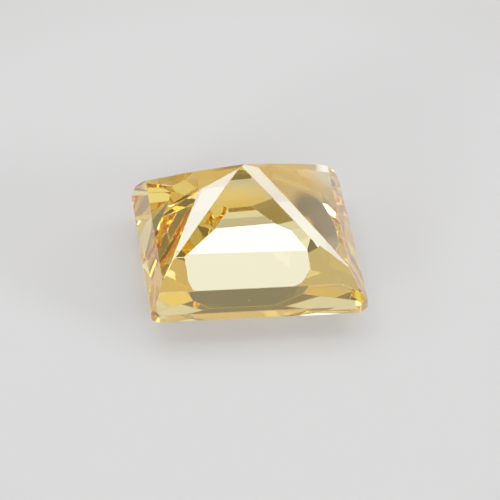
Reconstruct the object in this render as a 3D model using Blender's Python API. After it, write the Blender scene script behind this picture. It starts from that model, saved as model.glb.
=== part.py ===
"""A golden-yellow sapphire, square cut with clipped corners, lying on its table.

The stone is one convex crystal. It starts as a plain block, and every flat facet is one
straight slice off it, given the way a gem cutter writes a cutting plan: the direction
that the facet faces, how steep it is, and one point that it passes through.

Frame: metres, +Z up. The origin is the middle of the table, the flat face that the stone
lies on, so the crown is at the bottom and the culet points up. The back is +Y and the
right is +X. Directions are in degrees clockwise from +Y, seen from above: back 0,
right 90, front 180, left 270. Steepness is the angle between a facet and the level plane.
"""

from collections import namedtuple
import math

import bmesh
import bpy
from mathutils import Vector

MM = 0.001

# Driving dimensions, in millimetres and degrees
CROWN_HEIGHT = 0.54
GIRDLE_THICKNESS = 0.21
VERTICAL = 90.0

# Each side has a lower facet that rises from the girdle and an upper facet that runs on
# to the culet. The upper one starts "inset" inward of the girdle and "rise" above it. The
# crown facet runs from the girdle down and inward.
Side = namedtuple("Side", "faces half_width lower upper upper_faces inset rise crown")
SIDES = {
    "front": Side(
        182.8, 2.48, lower=62.1, upper=43.3, upper_faces=182.8, inset=0.30, rise=0.525, crown=23.5
    ),
    "right": Side(
        89.3, 2.505, lower=60.5, upper=41.7, upper_faces=87.8, inset=0.285, rise=0.545, crown=45.5
    ),
    "back": Side(
        359.5, 2.22, lower=55.2, upper=44.3, upper_faces=358.6, inset=0.30, rise=0.50, crown=50.5
    ),
    "left": Side(
        270.4, 2.50, lower=65.4, upper=50.7, upper_faces=270.3, inset=0.235, rise=0.58, crown=51.5
    ),
}

# Each corner is clipped by a small upright facet, "clip" along each side, and carries a
# long kite facet that would meet the stone's axis at "reach" above the girdle.
Corner = namedtuple("Corner", "faces clip kite kite_faces reach")
CORNERS = {
    ("front", "right"): Corner(135.0, clip=0.055, kite=31.3, kite_faces=135.8, reach=2.44),
    ("back", "right"): Corner(45.5, clip=0.25, kite=29.5, kite_faces=44.8, reach=2.375),
    ("back", "left"): Corner(313.0, clip=0.285, kite=26.7, kite_faces=315.6, reach=2.435),
    ("front", "left"): Corner(225.0, clip=0.275, kite=32.6, kite_faces=225.6, reach=2.585),
}

# Shallow star facets round the table, on the underside. "table" is how far from the middle
# the edge that a star facet shares with the table lies. The hand-cut crown has one for each
# side but the front, three at corners, and four more between them.
Star = namedtuple("Star", "faces steepness table")
STARS = {
    "back": Star(359.5, steepness=4.5, table=1.19),
    "back right corner": Star(38.6, steepness=15.2, table=1.40),
    "back of the right": Star(67.5, steepness=10.0, table=1.37),
    "right": Star(89.3, steepness=18.0, table=1.39),
    "front of the right": Star(120.0, steepness=13.5, table=1.44),
    "right of the front": Star(152.0, steepness=14.5, table=1.32),
    "front left corner": Star(225.0, steepness=15.2, table=1.575),
    "front of the left": Star(256.0, steepness=17.0, table=1.57),
    "left": Star(270.4, steepness=12.5, table=1.48),
    "back left corner": Star(313.0, steepness=20.0, table=1.285),
}

# Two extra facets that break the symmetry of the hand-cut stone: a shallow one on the
# left beside the culet, and a small one on the front below the right kite.
SHOULDER_FACES = 272.0
SHOULDER_STEEPNESS = 26.9
SHOULDER_REACH = 2.515
BREAK_FACES = 160.1
BREAK_STEEPNESS = 37.3
BREAK_DISTANCE = 3.475

# The rough block, larger than the finished stone on every side but the table
BLOCK = 8.0
SLICE_TOLERANCE = 1e-6

# Finish
GOLDEN_YELLOW = (0.80, 0.50, 0.13, 1.0)
POLISH_ROUGHNESS = 0.03
CORUNDUM_IOR = 1.77


def outward(faces):
    """The level unit vector of a direction."""
    angle = math.radians(faces)
    return Vector((math.sin(angle), math.cos(angle), 0.0))


def slice_facet(stone, faces, steepness, point):
    """Cut the stone along one plane, remove what lies outside it and close the new facet."""
    tilt = math.radians(steepness)
    normal = outward(faces) * math.sin(tilt) + Vector((0.0, 0.0, math.cos(tilt)))
    cut = bmesh.ops.bisect_plane(
        stone,
        geom=stone.verts[:] + stone.edges[:] + stone.faces[:],
        dist=SLICE_TOLERANCE,
        plane_co=point,
        plane_no=normal,
        clear_outer=True,
    )
    rim = [part for part in cut["geom_cut"] if isinstance(part, bmesh.types.BMEdge)]
    bmesh.ops.edgeloop_fill(stone, edges=rim)


def slice_underside(stone, faces, steepness, point):
    """Cut a facet that faces downward."""
    slice_facet(stone, faces, 2.0 * VERTICAL - steepness, point)


def level_point(faces, distance, height):
    """A point at a distance from the axis and a height above the table."""
    return outward(faces) * distance + Vector((0.0, 0.0, height))


def cut_side(stone, side):
    """The girdle, the two pavilion facets and the crown facet of one side."""
    girdle_top = CROWN_HEIGHT + GIRDLE_THICKNESS
    edge = level_point(side.faces, side.half_width, girdle_top)
    slice_facet(stone, side.faces, VERTICAL, edge)
    slice_facet(stone, side.faces, side.lower, edge)
    step = level_point(side.upper_faces, side.half_width - side.inset, girdle_top + side.rise)
    slice_facet(stone, side.upper_faces, side.upper, step)
    crown_edge = level_point(side.faces, side.half_width, CROWN_HEIGHT)
    slice_underside(stone, side.faces, side.crown, crown_edge)


def corner_distance(names, corner):
    """How far the clipped corner facet lies from the axis."""
    front_or_back, left_or_right = (SIDES[name].half_width for name in names)
    direction = outward(corner.faces)
    full = abs(direction.x) * left_or_right + abs(direction.y) * front_or_back
    return full - corner.clip / math.sqrt(2.0)


def cut_corner(stone, names, corner):
    """The clipped girdle corner and the long kite above it."""
    girdle_top = CROWN_HEIGHT + GIRDLE_THICKNESS
    distance = corner_distance(names, corner)
    slice_facet(stone, corner.faces, VERTICAL, level_point(corner.faces, distance, girdle_top))
    axis_point = Vector((0.0, 0.0, girdle_top + corner.reach))
    slice_facet(stone, corner.kite_faces, corner.kite, axis_point)


def cut_extra_facets(stone):
    """The two facets that only the left and the front right have."""
    girdle_top = CROWN_HEIGHT + GIRDLE_THICKNESS
    axis_point = Vector((0.0, 0.0, girdle_top + SHOULDER_REACH))
    slice_facet(stone, SHOULDER_FACES, SHOULDER_STEEPNESS, axis_point)
    break_point = level_point(BREAK_FACES, BREAK_DISTANCE, girdle_top)
    slice_facet(stone, BREAK_FACES, BREAK_STEEPNESS, break_point)


def cut_stone():
    """The finished stone as a mesh, in metres."""
    stone = bmesh.new()
    bmesh.ops.create_cube(stone, size=BLOCK)
    bmesh.ops.translate(stone, verts=stone.verts, vec=(0.0, 0.0, BLOCK / 2.0))
    for side in SIDES.values():
        cut_side(stone, side)
    for names, corner in CORNERS.items():
        cut_corner(stone, names, corner)
    for star in STARS.values():
        table_edge = level_point(star.faces, star.table, 0.0)
        slice_underside(stone, star.faces, star.steepness, table_edge)
    cut_extra_facets(stone)
    bmesh.ops.recalc_face_normals(stone, faces=stone.faces)
    bmesh.ops.scale(stone, verts=stone.verts, vec=(MM, MM, MM))
    mesh = bpy.data.meshes.new("sapphire")
    stone.to_mesh(mesh)
    stone.free()
    return mesh


def polished_sapphire():
    """The clear golden finish of the polished crystal."""
    material = bpy.data.materials.new("polished_sapphire")
    material.use_nodes = True
    shader = material.node_tree.nodes["Principled BSDF"]
    shader.inputs["Base Color"].default_value = GOLDEN_YELLOW
    shader.inputs["Roughness"].default_value = POLISH_ROUGHNESS
    shader.inputs["Metallic"].default_value = 0.0
    shader.inputs["IOR"].default_value = CORUNDUM_IOR
    shader.inputs["Transmission Weight"].default_value = 1.0
    return material


def build_sapphire():
    """Put the stone in a collection of its own."""
    collection = bpy.data.collections.new("sapphire")
    bpy.context.scene.collection.children.link(collection)
    sapphire = bpy.data.objects.new("sapphire", cut_stone())
    sapphire.data.materials.append(polished_sapphire())
    collection.objects.link(sapphire)


for old in list(bpy.data.objects):
    bpy.data.objects.remove(old, do_unlink=True)
build_sapphire()
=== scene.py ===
"""Looks of a loose golden-yellow sapphire lying on its table in a plain light studio.

The file is laid out as a Blender add-on and run as a script. The cut stone comes from the
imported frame; this script rounds its facet edges by a hair, gives it a clear golden crystal
finish with polishing marks, lays a few specks of dust on it and sets up the floor, the soft
lights and the camera.

Lengths are in metres unless a name says otherwise. The lights' directions are in degrees
clockwise from +Y (the back of the stone), seen from above.
"""

from collections import namedtuple
import math

import bmesh
import bpy
from bpy.props import FloatProperty, FloatVectorProperty, IntProperty, PointerProperty
from mathutils import Matrix, Vector


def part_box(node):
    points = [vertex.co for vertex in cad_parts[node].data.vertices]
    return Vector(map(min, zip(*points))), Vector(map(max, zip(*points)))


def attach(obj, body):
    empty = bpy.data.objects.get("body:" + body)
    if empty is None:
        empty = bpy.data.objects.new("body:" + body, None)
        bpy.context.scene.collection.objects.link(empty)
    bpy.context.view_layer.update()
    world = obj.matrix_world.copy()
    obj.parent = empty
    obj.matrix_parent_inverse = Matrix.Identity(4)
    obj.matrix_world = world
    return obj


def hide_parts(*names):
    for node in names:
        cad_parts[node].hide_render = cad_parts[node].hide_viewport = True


bl_info = {
    "name": "Golden sapphire",
    "version": (1, 0, 0),
    "blender": (4, 5, 0),
    "location": "3D View > Sidebar > Sapphire",
    "description": "Finishes a faceted yellow sapphire and lights it on a pale floor",
    "category": "Object",
}

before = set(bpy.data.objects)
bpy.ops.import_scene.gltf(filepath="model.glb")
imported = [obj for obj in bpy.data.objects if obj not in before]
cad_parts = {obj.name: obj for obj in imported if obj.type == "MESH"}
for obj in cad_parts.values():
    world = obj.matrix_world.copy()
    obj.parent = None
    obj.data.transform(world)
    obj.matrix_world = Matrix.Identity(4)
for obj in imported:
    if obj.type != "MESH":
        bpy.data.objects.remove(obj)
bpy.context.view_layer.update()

MM = 0.001
STONE_NODE = "sapphire"
STONE_BODY = "root"
_, STONE_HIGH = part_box(STONE_NODE)

# Mesh clean-up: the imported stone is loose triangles, which merge back to flat facets
WELD_DISTANCE = 0.001 * MM
FLAT_ANGLE = math.radians(0.3)

# The rounded edges between facets: the least turn that gets one, and the slot that the
# bevel gives them until they are marked
EDGE_ANGLE = math.radians(1.5)
EDGE_MATERIAL = 1
WORN_EDGE = "worn_edge"

# Polish of the facets. Texture scales are cycles per metre. A facet is clean where its
# noise is below the range, and most smeared where it is above.
NOISE_DETAIL = 2.0
SMEAR_SCALE = 650.0
SMEAR_DETAIL = 3.0
SMEAR_RANGE = (0.5, 0.8)
MARK_SCALE = 5200.0
MARK_STRETCH = (1.0, 6.0, 2.0)
MARK_HEIGHT = 0.000002 * MM

# Dust lies where a facet leans up far enough, and keeps off the ridge, where it would rise
# past the stone. A grain's width, depth and height are drawn between two limits, as shares
# of the speck size. Its turn is drawn in the same way, in radians.
DUST_LEAN = 0.35
RIDGE_CLEARANCE = 0.15 * MM
GRAIN_SHAPE = ((0.4, 0.4, 0.25), (1.7, 1.3, 0.8))
GRAIN_TURN = ((0.0, 0.0, 0.0), (0.4, 0.4, math.tau))
GRAIN_SUBDIVISIONS = 1
DUST_DARKEST = 0.45
DUST_ROUGHNESS = 0.9
SQUARE_MM = MM * MM
DUST_INPUTS = {
    "Geometry": "NodeSocketGeometry",
    "Density": "NodeSocketFloat",
    "Size": "NodeSocketFloat",
    "Highest": "NodeSocketFloat",
    "Seed": "NodeSocketInt",
    "Finish": "NodeSocketMaterial",
}

# The camera is set from one point of the stone and the pixel where that point lies in the
# photograph
PHOTO_PIXELS = 500
SENSOR_WIDTH_MM = 36.0
AIM_POINT = Vector((0.0, 0.0, 0.78 * MM))
AIM_PIXEL_ACROSS = 246.28
AIM_PIXEL_DOWN = 240.33
CLIP_NEAR = 10.0 * MM
CLIP_FAR = 10.0

# The floor is pale near the stone. It fades between two distances to the darker colours of the
# far left and far right, which blend from side to side. This is painted shade: the floor is
# painted darker away from the stone, standing in for the studio light falling off.
FLOOR_HALF = 1.5
FLOOR_GAP = 0.01 * MM
FLOOR_ROUGHNESS = 0.85
FLOOR_SHADE_FADE = (9.0 * MM, 30.0 * MM)
MIDDLE = (0.0, 0.0, 0.0)
FAR_SIDES = (-10.0 * MM, 10.0 * MM)

# Painted light and shade on the floor: a glowing golden pool and a bright glint stand in for
# light that the stone gathers, and a dark spot is painted shade where the table shuts light out.
# Each is round, with a middle and two radii between which its edge fades. The pool also ends at
# the back.
POOL_CENTRE = (-0.4 * MM, 1.5 * MM, 0.0)
POOL_EDGE = (0.9 * MM, 1.8 * MM)
POOL_BACK = (2.4 * MM, 3.1 * MM)
SHADE_CENTRE = (0.75 * MM, 0.3 * MM, 0.0)
SHADE_EDGE = (0.65 * MM, 1.0 * MM)
GLINT_CENTRE = (1.36 * MM, 2.03 * MM, 0.0)
GLINT_EDGE = (0.08 * MM, 0.36 * MM)

# Soft panels round the stone: where each one stands, how wide and high it looks from the
# stone, half of each in degrees, how bright it is and its colour
Panel = namedtuple("Panel", "name azimuth elevation half_width half_height radiance colour")
WHITE = (1.0, 1.0, 1.0)
BLACK = (0.0, 0.0, 0.0)
COOL = (1.0, 1.03, 1.25)
CREAM = (1.0, 0.96, 0.86)
STRAW = (1.0, 0.75, 0.40)
AMBER = (1.0, 0.55, 0.10)
PANELS = (
    Panel("front_softbox", 182.0, 32.0, 20.0, 4.0, 5.0, WHITE),
    Panel("front_right_card", 138.0, 46.0, 12.0, 8.0, 0.35, WHITE),
    Panel("front_left_softbox", 219.0, 15.0, 7.0, 6.0, 22.0, WHITE),
    Panel("front_right_softbox", 122.0, 17.0, 8.0, 6.0, 22.0, WHITE),
    Panel("right_low_softbox", 92.0, 35.0, 10.0, 4.0, 6.0, WHITE),
    Panel("left_low_softbox", -84.0, 35.0, 9.0, 4.0, 6.0, WHITE),
    Panel("back_right_softbox", 57.0, 44.0, 8.0, 4.0, 6.0, WHITE),
    Panel("back_left_softbox", -25.0, 45.0, 9.0, 4.0, 6.0, WHITE),
    Panel("back_softbox", 12.5, 51.0, 12.0, 4.5, 5.0, COOL),
    Panel("back_reflector", 11.0, 42.0, 14.0, 4.0, 1.3, COOL),
    Panel("back_card", -17.0, 61.0, 13.0, 13.0, 0.85, WHITE),
    Panel("high_back_card", 16.0, 67.0, 8.0, 5.0, 0.45, WHITE),
    Panel("back_right_card", 45.0, 52.0, 8.0, 9.0, 0.8, WHITE),
    Panel("left_softbox", -70.0, 58.0, 6.5, 4.3, 8.0, CREAM),
    Panel("high_left_card", -75.0, 72.0, 14.0, 6.0, 0.7, WHITE),
    Panel("left_card", -112.0, 38.0, 8.0, 12.0, 0.8, WHITE),
    Panel("right_softbox", 77.0, 48.0, 6.0, 5.0, 7.0, CREAM),
    Panel("right_card", 90.0, 66.0, 14.0, 6.0, 1.3, WHITE),
    Panel("low_back_left_card", -37.0, 16.0, 24.0, 16.0, 0.35, STRAW),
    Panel("low_back_card", 14.0, 7.0, 27.0, 9.0, 0.5, AMBER),
    Panel("low_back_right_card", 50.0, 16.0, 14.0, 16.0, 0.45, AMBER),
    Panel("low_left_card", -88.0, 20.0, 22.0, 17.0, 0.25, WHITE),
)
PANEL_DISTANCE = 0.5

# The room dims between these two heights, where 0 is level and 1 is straight up
ROOM_FADE = (0.45, 0.85)
LIGHT_BOUNCES = 40

# How the camera's sensor turns light into brightness. The steps are the points that shape
# the curve, as shares of the light that comes out white.
FILM_SPEED = 1.85
FILM_WHITE = 3.0
FILM_STEPS = (0.06, 0.13, 0.22, 0.34, 0.5, 0.7)
COMBINED_CURVE = 3

# Sockets of a Mix node that blends colours
MIX_FACTOR = 0
MIX_COLOURS = (6, 7)
MIX_RESULT = 2


class Wire:
    """A node's output that arithmetic operators turn into Math nodes."""

    def __init__(self, sheet, socket):
        self.sheet = sheet
        self.socket = socket

    def __add__(self, other):
        return self.sheet.math("ADD", self, other)

    __radd__ = __add__

    def __sub__(self, other):
        return self.sheet.math("SUBTRACT", self, other)

    def __rsub__(self, other):
        return self.sheet.math("SUBTRACT", other, self)

    def __mul__(self, other):
        return self.sheet.math("MULTIPLY", self, other)

    __rmul__ = __mul__

    def __gt__(self, other):
        return self.sheet.math("GREATER_THAN", self, other)

    def __lt__(self, other):
        return self.sheet.math("LESS_THAN", self, other)


class NodeSheet:
    """A node tree that is written as calls and expressions."""

    def __init__(self, tree):
        self.tree = tree
        self.tree.nodes.clear()

    def node(self, kind, settings=None, inputs=None, output=0):
        """Add a node, change its settings, fill or link its sockets and return one output."""
        node = self.tree.nodes.new(kind)
        for name, value in (settings or {}).items():
            setattr(node, name, value)
        for name, value in (inputs or {}).items():
            if isinstance(value, Wire):
                self.tree.links.new(value.socket, node.inputs[name])
            else:
                node.inputs[name].default_value = value
        return Wire(self, node.outputs[output]) if len(node.outputs) else None

    def math(self, operation, first, second):
        """One Math node on two wires or numbers."""
        return self.node("ShaderNodeMath", {"operation": operation}, {0: first, 1: second})

    def mix(self, factor, first, second):
        """Blend two colours, each a wire or three numbers, by a factor from 0 to 1."""
        sockets = {MIX_FACTOR: factor}
        for socket, colour in zip(MIX_COLOURS, (first, second)):
            sockets[socket] = colour if isinstance(colour, Wire) else (*colour, 1.0)
        return self.node("ShaderNodeMix", {"data_type": "RGBA"}, sockets, output=MIX_RESULT)

    def noise(self, place, scale, detail=NOISE_DETAIL):
        """Soft random patches, with a scale in cycles per metre."""
        return self.node(
            "ShaderNodeTexNoise",
            inputs={"Vector": place, "Scale": scale, "Detail": detail},
        )

    def axis(self, vector, name):
        """The part of a vector along X, Y or Z."""
        return self.node("ShaderNodeSeparateXYZ", inputs={0: vector}, output=name)

    def ramp(self, value, low, high):
        """Turn a value into 0 at low and 1 at high, evenly in between."""
        return self.node(
            "ShaderNodeMapRange",
            inputs={"Value": value, "From Min": low, "From Max": high},
        )


def new_finish(name):
    """A material and the sheet that its nodes are written on."""
    material = bpy.data.materials.new(name)
    material.use_nodes = True
    return material, NodeSheet(material.node_tree)


class StoneSettings(bpy.types.PropertyGroup):
    """Sizes and optics of the cut stone."""

    edge_rounding: FloatProperty(
        name="Edge rounding",
        description="Width of the polished-over edge between two facets",
        default=0.009 * MM,
        unit="LENGTH",
    )
    edge_steps: IntProperty(
        name="Edge steps",
        description="Flat steps across a rounded edge",
        default=2,
        min=1,
    )
    ior: FloatProperty(
        name="Refractive index",
        description="Refractive index of corundum",
        default=1.77,
    )
    colour: FloatVectorProperty(
        name="Body colour",
        description="Colour that white light keeps on its way through the crystal",
        subtype="COLOR",
        size=3,
        default=(0.98, 0.865, 0.43),
    )
    depth_of_colour: FloatProperty(
        name="Depth of colour",
        description="Absorption density per metre of crystal",
        default=400.0,
    )
    smear_roughness: FloatProperty(
        name="Smeared facets",
        description="Roughness of a facet where it is least clean",
        subtype="FACTOR",
        default=0.03,
        min=0.0,
        max=1.0,
    )
    edge_roughness: FloatProperty(
        name="Worn edges",
        description="Roughness of the rounded edges",
        subtype="FACTOR",
        default=0.22,
        min=0.0,
        max=1.0,
    )


class DustSettings(bpy.types.PropertyGroup):
    """Fine dust lying on the stone."""

    size: FloatProperty(
        name="Speck size",
        description="Radius of a middling speck",
        default=0.009 * MM,
        unit="LENGTH",
    )
    density: FloatProperty(
        name="Specks per square millimetre",
        description="How thickly the dust lies on the facets that face up",
        default=0.8,
    )
    seed: IntProperty(
        name="Seed",
        description="Changes where the specks fall",
        default=4,
    )
    colour: FloatVectorProperty(
        name="Dust colour",
        description="Colour of the palest specks",
        subtype="COLOR",
        size=3,
        default=(0.78, 0.76, 0.70),
    )


class StageSettings(bpy.types.PropertyGroup):
    """Floor, lights and camera."""

    floor_colour: FloatVectorProperty(
        name="Floor colour",
        description="Colour of the pale studio floor",
        subtype="COLOR",
        size=3,
        default=(0.65, 0.65, 0.65),
    )
    # Painted shade: the far floor is painted darker, standing in for the studio light falling
    # off away from the stone
    far_left_shade_colour: FloatVectorProperty(
        name="Far left floor colour",
        description="Colour of the floor far outside the picture, on the left",
        subtype="COLOR",
        size=3,
        default=(0.10, 0.09, 0.07),
    )
    far_right_shade_colour: FloatVectorProperty(
        name="Far right floor colour",
        description="Colour of the floor far outside the picture, on the right",
        subtype="COLOR",
        size=3,
        default=(0.28, 0.26, 0.22),
    )
    # Painted light: a golden glow and a golden floor tint stand in for the light that the stone
    # gathers behind it
    pool_light: FloatVectorProperty(
        name="Pool of light",
        description="Golden light that the stone gathers on the floor behind it",
        subtype="COLOR",
        size=3,
        default=(0.34, 0.17, 0.02),
    )
    pool_light_colour: FloatVectorProperty(
        name="Pool colour",
        description="Colour of the floor in the pool of golden light",
        subtype="COLOR",
        size=3,
        default=(0.65, 0.55, 0.33),
    )
    # Painted shade: a dark spot on the floor under the table, where it shuts the light out
    shade_colour: FloatVectorProperty(
        name="Shade colour",
        description="Colour of the floor where the table shuts the light out",
        subtype="COLOR",
        size=3,
        default=(0.33, 0.285, 0.185),
    )
    # Painted glint: a small glowing spot on the floor at the back right corner, standing in for
    # light that the stone throws there
    glint_light: FloatVectorProperty(
        name="Glint of light",
        description="Bright light that the back right corner throws on the floor",
        subtype="COLOR",
        size=3,
        default=(1.7, 1.5, 1.1),
    )
    floor_depth: FloatProperty(
        name="Floor depth",
        description="How far light spreads inside the pale floor",
        default=1.3 * MM,
        unit="LENGTH",
    )
    room_light: FloatProperty(
        name="Room light",
        description="Brightness of the plain room near the floor",
        default=0.23,
    )
    ceiling_light: FloatProperty(
        name="Ceiling light",
        description="Brightness of the plain room overhead",
        default=0.07,
    )
    camera_azimuth: FloatProperty(
        name="Camera azimuth",
        description="Turn of the camera round the stone, 0 looking along +Y",
        subtype="ANGLE",
        default=math.radians(-8.09),
    )
    camera_elevation: FloatProperty(
        name="Camera elevation",
        description="Angle of the camera above the floor",
        subtype="ANGLE",
        default=math.radians(40.94),
    )
    camera_roll: FloatProperty(
        name="Camera roll",
        description="Turn of the picture, clockwise",
        subtype="ANGLE",
        default=math.radians(0.705),
    )
    camera_distance: FloatProperty(
        name="Camera distance",
        description="From the stone to the lens",
        default=125.0 * MM,
        unit="LENGTH",
    )
    pixels_per_mm: FloatProperty(
        name="Scale",
        description="Photo pixels for one millimetre at the stone",
        default=42.58,
    )


def link_mesh_object(name, mesh):
    """A new object in the scene at the origin, with its place in its mesh."""
    piece = bpy.data.objects.new(name, mesh)
    bpy.context.scene.collection.objects.link(piece)
    return piece


def bake_modifiers(piece):
    """Turn a piece and its modifiers into a plain mesh."""
    depsgraph = bpy.context.evaluated_depsgraph_get()
    finished = bpy.data.meshes.new_from_object(piece.evaluated_get(depsgraph))
    piece.modifiers.clear()
    piece.data = finished


def flat_facet_mesh():
    """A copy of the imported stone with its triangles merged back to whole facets."""
    stone = bmesh.new()
    stone.from_mesh(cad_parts[STONE_NODE].data)
    bmesh.ops.remove_doubles(stone, verts=stone.verts, dist=WELD_DISTANCE)
    bmesh.ops.dissolve_limit(
        stone, angle_limit=FLAT_ANGLE, verts=stone.verts, edges=stone.edges
    )
    for facet in stone.faces:
        facet.smooth = False
    mesh = bpy.data.meshes.new("stone_facets")
    stone.to_mesh(mesh)
    stone.free()
    return mesh


def crystal_finish(settings):
    """Clear golden corundum with faintly smeared facets, fine polishing marks and worn edges."""
    material, sheet = new_finish("golden_crystal")
    place = sheet.node("ShaderNodeTexCoord", output="Object")
    smear = sheet.ramp(sheet.noise(place, SMEAR_SCALE, SMEAR_DETAIL), *SMEAR_RANGE)
    worn = sheet.node("ShaderNodeAttribute", {"attribute_name": WORN_EDGE}, output="Fac")
    along = sheet.node("ShaderNodeMapping", inputs={"Vector": place, "Scale": MARK_STRETCH})
    marks = sheet.noise(along, MARK_SCALE)
    relief = sheet.node("ShaderNodeBump", inputs={"Height": marks, "Distance": MARK_HEIGHT})
    surface = sheet.node(
        "ShaderNodeBsdfPrincipled",
        inputs={
            "Base Color": (*WHITE, 1.0),
            "Roughness": smear * settings.smear_roughness + worn * settings.edge_roughness,
            "IOR": settings.ior,
            "Transmission Weight": 1.0,
            "Normal": relief,
        },
    )
    depth = sheet.node(
        "ShaderNodeVolumeAbsorption",
        inputs={"Color": (*settings.colour, 1.0), "Density": settings.depth_of_colour},
    )
    sheet.node("ShaderNodeOutputMaterial", inputs={"Surface": surface, "Volume": depth})
    return material


def mark_worn_edges(mesh):
    """Note which faces are rounded edges, for the finish, and put every face in one slot."""
    worn = mesh.attributes.new(WORN_EDGE, "FLOAT", "FACE")
    for facet in mesh.polygons:
        worn.data[facet.index].value = float(facet.material_index == EDGE_MATERIAL)
        facet.material_index = 0


class SAPPHIRE_OT_stone(bpy.types.Operator):
    """Round the facet edges of the cut stone and give it its crystal finish"""

    bl_idname = "sapphire.stone"
    bl_label = "Cut stone"

    def execute(self, context):
        settings = context.scene.sapphire_stone
        finish = crystal_finish(settings)
        stone = link_mesh_object("cut_stone", flat_facet_mesh())
        for _ in ("facets", "rounded edges"):
            stone.data.materials.append(finish)
        rounding = stone.modifiers.new("rounded edges", "BEVEL")
        rounding.width = settings.edge_rounding
        rounding.segments = settings.edge_steps
        rounding.limit_method = "ANGLE"
        rounding.angle_limit = EDGE_ANGLE
        rounding.material = EDGE_MATERIAL
        bake_modifiers(stone)
        mark_worn_edges(stone.data)
        stone.data.materials.pop(index=EDGE_MATERIAL)
        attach(stone, STONE_BODY)
        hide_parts(STONE_NODE)
        return {"FINISHED"}


def dust_finish(settings):
    """Pale dry dust, some specks darker than others."""
    material, sheet = new_finish("dust")
    place = sheet.node("ShaderNodeTexCoord", output="Object")
    tone = sheet.noise(place, SMEAR_SCALE)
    darkest = tuple(DUST_DARKEST * part for part in settings.colour)
    surface = sheet.node(
        "ShaderNodeBsdfPrincipled",
        inputs={
            "Base Color": sheet.mix(tone, darkest, settings.colour),
            "Roughness": DUST_ROUGHNESS,
        },
    )
    sheet.node("ShaderNodeOutputMaterial", inputs={"Surface": surface})
    return material


def random_vector(sheet, limits, seed):
    """A vector drawn for each grain, with each part between its two limits."""
    return sheet.node(
        "FunctionNodeRandomValue",
        {"data_type": "FLOAT_VECTOR"},
        {0: limits[0], 1: limits[1], "Seed": seed},
    )


def dust_tree():
    """Scatter irregular grains over the facets that face up, below the ridge."""
    group = bpy.data.node_groups.new("dust_specks", "GeometryNodeTree")
    sheet = NodeSheet(group)
    for name, kind in DUST_INPUTS.items():
        group.interface.new_socket(name, in_out="INPUT", socket_type=kind)
    group.interface.new_socket("Geometry", in_out="OUTPUT", socket_type="NodeSocketGeometry")
    asked = {name: sheet.node("NodeGroupInput", output=name) for name in DUST_INPUTS}
    up = sheet.axis(sheet.node("GeometryNodeInputNormal"), "Z")
    height = sheet.axis(sheet.node("GeometryNodeInputPosition"), "Z")
    points = sheet.node(
        "GeometryNodeDistributePointsOnFaces",
        inputs={
            "Mesh": asked["Geometry"],
            "Selection": (up > DUST_LEAN) * (height < asked["Highest"]),
            "Density": asked["Density"],
            "Seed": asked["Seed"],
        },
    )
    shape = random_vector(sheet, GRAIN_SHAPE, asked["Seed"])
    turn = random_vector(sheet, GRAIN_TURN, asked["Seed"] + 1)
    scale = sheet.node(
        "ShaderNodeVectorMath", {"operation": "SCALE"}, {0: shape, "Scale": asked["Size"]}
    )
    grain = sheet.node(
        "GeometryNodeMeshIcoSphere",
        inputs={"Radius": 1.0, "Subdivisions": GRAIN_SUBDIVISIONS},
    )
    grains = sheet.node(
        "GeometryNodeInstanceOnPoints",
        inputs={"Points": points, "Instance": grain, "Rotation": turn, "Scale": scale},
    )
    meshes = sheet.node("GeometryNodeRealizeInstances", inputs={"Geometry": grains})
    dressed = sheet.node(
        "GeometryNodeSetMaterial",
        inputs={"Geometry": meshes, "Material": asked["Finish"]},
    )
    sheet.node("NodeGroupOutput", inputs={"Geometry": dressed})
    return group


def set_tree_inputs(modifier, values):
    """Give a node tree its inputs, found by name and set by their sockets' identifiers."""
    for item in modifier.node_group.interface.items_tree:
        if item.in_out == "INPUT" and item.name in values:
            modifier[item.identifier] = values[item.name]


class SAPPHIRE_OT_dust(bpy.types.Operator):
    """Lay a few specks of dust on the facets that face up"""

    bl_idname = "sapphire.dust"
    bl_label = "Dust"

    def execute(self, context):
        settings = context.scene.sapphire_dust
        dust = link_mesh_object("dust_specks", flat_facet_mesh())
        scatter = dust.modifiers.new("scatter", "NODES")
        scatter.node_group = dust_tree()
        set_tree_inputs(scatter, {
            "Density": settings.density / SQUARE_MM,
            "Size": settings.size,
            "Highest": STONE_HIGH[2] - RIDGE_CLEARANCE,
            "Seed": settings.seed,
            "Finish": dust_finish(settings),
        })
        bake_modifiers(dust)
        if not dust.data.polygons:
            raise RuntimeError("no dust fell on the stone")
        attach(dust, STONE_BODY)
        return {"FINISHED"}


def towards(turn, rise):
    """The unit vector of a direction: its turn clockwise from +Y and its rise, in radians."""
    level = math.cos(rise)
    return Vector((math.sin(turn) * level, math.cos(turn) * level, math.sin(rise)))


def add_panel(panel):
    """A rectangular light that faces the stone, sized by the angles that it covers there.

    A panel's power is pi times its radiance over its area.
    """
    light = bpy.data.lights.new(panel.name, "AREA")
    light.shape = "RECTANGLE"
    light.size = 2.0 * PANEL_DISTANCE * math.tan(math.radians(panel.half_width))
    light.size_y = 2.0 * PANEL_DISTANCE * math.tan(math.radians(panel.half_height))
    light.energy = panel.radiance * math.pi * light.size * light.size_y
    light.color = panel.colour
    lamp = bpy.data.objects.new(panel.name, light)
    direction = towards(math.radians(panel.azimuth), math.radians(panel.elevation))
    lamp.location = direction * PANEL_DISTANCE
    lamp.rotation_euler = direction.to_track_quat("Z", "Y").to_euler()
    bpy.context.scene.collection.objects.link(lamp)


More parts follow.
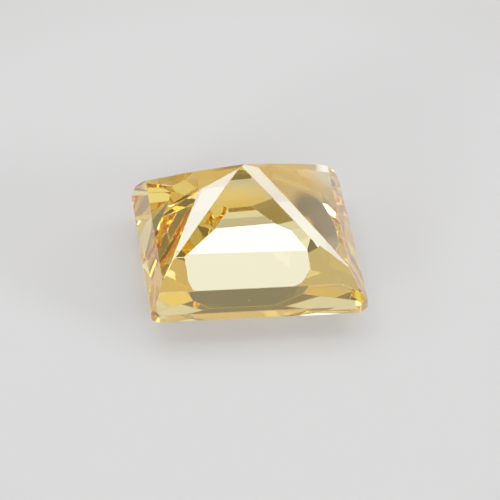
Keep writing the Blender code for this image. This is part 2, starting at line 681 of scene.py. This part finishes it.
def add_camera(stage):
    """The camera at the photograph's viewing angle."""
    data = bpy.data.cameras.new("photo_camera")
    data.sensor_width = SENSOR_WIDTH_MM
    distance_mm = stage.camera_distance / MM
    data.lens = SENSOR_WIDTH_MM * stage.pixels_per_mm * distance_mm / PHOTO_PIXELS
    data.clip_start = CLIP_NEAR
    data.clip_end = CLIP_FAR
    camera = bpy.data.objects.new("photo_camera", data)
    turn, roll = stage.camera_azimuth, stage.camera_roll
    back = towards(math.pi - turn, stage.camera_elevation)
    level_right = Vector((math.cos(turn), math.sin(turn), 0.0))
    level_up = back.cross(level_right)
    right = math.cos(roll) * level_right + math.sin(roll) * level_up
    up = back.cross(right)
    to_right = PHOTO_PIXELS / 2.0 - AIM_PIXEL_ACROSS
    to_bottom = PHOTO_PIXELS / 2.0 - AIM_PIXEL_DOWN
    aim = AIM_POINT + (to_right * right - to_bottom * up) * (MM / stage.pixels_per_mm)
    pose = Matrix((right, up, back)).transposed().to_4x4()
    pose.translation = aim + back * stage.camera_distance
    camera.matrix_world = pose
    bpy.context.scene.collection.objects.link(camera)
    bpy.context.scene.camera = camera


def floor_spot(sheet, place, centre, edge):
    """0 within a round spot on the floor, 1 outside it, and soft between its two radii."""
    away = sheet.node(
        "ShaderNodeVectorMath", {"operation": "DISTANCE"}, {0: place, 1: centre}, output="Value"
    )
    return sheet.ramp(away, *edge)


def floor_finish(stage):
    """A soft pale floor with painted light and shade where the stone bends the light: a glowing
    golden pool, a glint and a dark spot.
    """
    material, sheet = new_finish("studio_floor")
    place = sheet.node("ShaderNodeTexCoord", output="Object")
    back = sheet.axis(place, "Y")
    # Painted light: the golden pool behind the stone
    pool = floor_spot(sheet, place, POOL_CENTRE, POOL_EDGE) + sheet.ramp(back, *POOL_BACK)
    # Painted shade: the dark spot under the table, which also puts out the painted pool glow
    shade = floor_spot(sheet, place, SHADE_CENTRE, SHADE_EDGE)
    # Painted glint: the bright glowing spot at the back right corner
    glint = floor_spot(sheet, place, GLINT_CENTRE, GLINT_EDGE)
    glow = sheet.mix(shade, BLACK, sheet.mix(pool, stage.pool_light, BLACK))
    glow = sheet.mix(glint, stage.glint_light, glow)
    # Base colour with the painted golden pool and, over it, the painted shade
    pooled = sheet.mix(pool, stage.pool_light_colour, stage.floor_colour)
    near = sheet.mix(shade, stage.shade_colour, pooled)
    # Painted shade: the floor darkens away from the stone, on the left more than on the right
    side = sheet.ramp(sheet.axis(place, "X"), *FAR_SIDES)
    far = sheet.mix(side, stage.far_left_shade_colour, stage.far_right_shade_colour)
    surface = sheet.node(
        "ShaderNodeBsdfPrincipled",
        inputs={
            "Base Color": sheet.mix(floor_spot(sheet, place, MIDDLE, FLOOR_SHADE_FADE), near, far),
            "Emission Color": glow,
            "Emission Strength": 1.0,
            "Roughness": FLOOR_ROUGHNESS,
            "Specular IOR Level": 0.0,
            "Subsurface Weight": 1.0,
            "Subsurface Radius": WHITE,
            "Subsurface Scale": stage.floor_depth,
        },
    )
    sheet.node("ShaderNodeOutputMaterial", inputs={"Surface": surface})
    return material


def add_floor(stage):
    """A plain floor just under the table."""
    floor = bmesh.new()
    bmesh.ops.create_grid(floor, x_segments=1, y_segments=1, size=FLOOR_HALF)
    bmesh.ops.translate(floor, verts=floor.verts, vec=(0.0, 0.0, -FLOOR_GAP))
    mesh = bpy.data.meshes.new("studio_floor")
    floor.to_mesh(mesh)
    floor.free()
    mesh.materials.append(floor_finish(stage))
    link_mesh_object("studio_floor", mesh)


def add_room(stage):
    """The even light of the room, brighter near the floor and dim overhead."""
    world = bpy.data.worlds.new("studio_room")
    world.use_nodes = True
    sheet = NodeSheet(world.node_tree)
    direction = sheet.node("ShaderNodeTexCoord", output="Generated")
    fade = sheet.ramp(sheet.axis(direction, "Z"), *ROOM_FADE)
    light = fade * stage.ceiling_light + (1.0 - fade) * stage.room_light
    glow = sheet.node("ShaderNodeBackground", inputs={"Strength": light})
    sheet.node("ShaderNodeOutputWorld", inputs={"Surface": glow})
    bpy.context.scene.world = world


def set_light_paths():
    """Let light bounce inside the crystal until it finds its way out."""
    cycles = bpy.context.scene.cycles
    cycles.max_bounces = LIGHT_BOUNCES
    cycles.glossy_bounces = LIGHT_BOUNCES
    cycles.transmission_bounces = LIGHT_BOUNCES


def set_film_response():
    """Bright light saturates softly, each colour by itself, as on the camera's sensor."""
    view = bpy.context.scene.view_settings
    view.view_transform = "Standard"
    view.use_curve_mapping = True
    mapping = view.curve_mapping
    mapping.white_level = (FILM_WHITE, FILM_WHITE, FILM_WHITE)
    combined = mapping.curves[COMBINED_CURVE]
    for step in FILM_STEPS:
        combined.points.new(step, 1.0 - math.exp(-FILM_SPEED * FILM_WHITE * step))
    mapping.update()


class SAPPHIRE_OT_stage(bpy.types.Operator):
    """Add the floor, the soft lights and the camera"""

    bl_idname = "sapphire.stage"
    bl_label = "Studio"

    def execute(self, context):
        stage = context.scene.sapphire_stage
        add_room(stage)
        add_floor(stage)
        for panel in PANELS:
            add_panel(panel)
        set_light_paths()
        set_film_response()
        add_camera(stage)
        return {"FINISHED"}


class SAPPHIRE_PT_panel(bpy.types.Panel):
    """Lists the steps and their sizes"""

    bl_idname = "SAPPHIRE_PT_panel"
    bl_label = "Sapphire"
    bl_space_type = "VIEW_3D"
    bl_region_type = "UI"
    bl_category = "Sapphire"

    def draw(self, context):
        for operator, scene_name, group in STEPS:
            self.layout.operator(operator.bl_idname)
            for setting in group.__annotations__:
                self.layout.prop(getattr(context.scene, scene_name), setting)


# Each step's operator, the name that its settings have on the scene, and their group
STEPS = (
    (SAPPHIRE_OT_stone, "sapphire_stone", StoneSettings),
    (SAPPHIRE_OT_dust, "sapphire_dust", DustSettings),
    (SAPPHIRE_OT_stage, "sapphire_stage", StageSettings),
)
CLASSES = (
    StoneSettings,
    DustSettings,
    StageSettings,
    SAPPHIRE_OT_stone,
    SAPPHIRE_OT_dust,
    SAPPHIRE_OT_stage,
    SAPPHIRE_PT_panel,
)


def register():
    """Register the classes and hang the settings on the scene."""
    for cls in CLASSES:
        bpy.utils.register_class(cls)
    for _, scene_name, group in STEPS:
        setattr(bpy.types.Scene, scene_name, PointerProperty(type=group))


def unregister():
    """Undo register."""
    for _, scene_name, _ in STEPS:
        delattr(bpy.types.Scene, scene_name)
    for cls in reversed(CLASSES):
        bpy.utils.unregister_class(cls)


def main():
    """Build everything in order."""
    register()
    bpy.ops.sapphire.stone()
    bpy.ops.sapphire.dust()
    bpy.ops.sapphire.stage()


if __name__ == "__main__":
    main()
